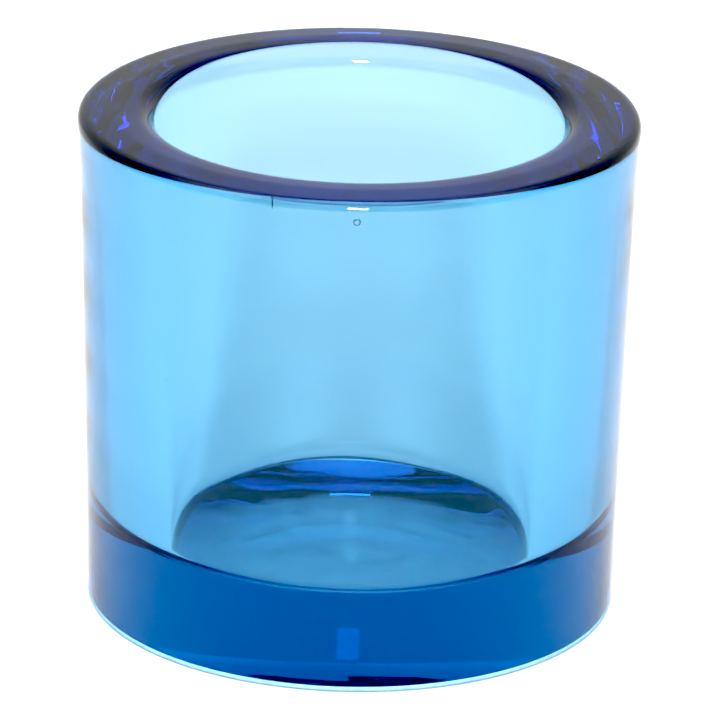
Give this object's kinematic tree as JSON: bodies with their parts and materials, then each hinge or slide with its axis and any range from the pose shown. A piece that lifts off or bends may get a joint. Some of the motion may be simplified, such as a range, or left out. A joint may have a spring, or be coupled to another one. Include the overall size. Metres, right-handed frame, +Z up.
{
  "type": "votive candle holder",
  "caption": "Heavy round tumbler of turquoise glass, open at the top, with a thick wall, a thick floor and a soft rounded rim, for a tealight or a small votive candle.",
  "frame": {"origin": "centre of the flat underside, on the surface that the holder stands on", "axes": "+Z up along the axis of the round body and of its well; X and Y are alike"},
  "size_m": [0.0654, 0.0654, 0.06],
  "materials": {
    "turquoise_glass": "fire-polished pressed glass, clear turquoise, deepening to royal blue through the thick floor"
  },
  "bodies": {
    "root": {"glass_body": "turquoise_glass"}
  },
  "joints": []
}
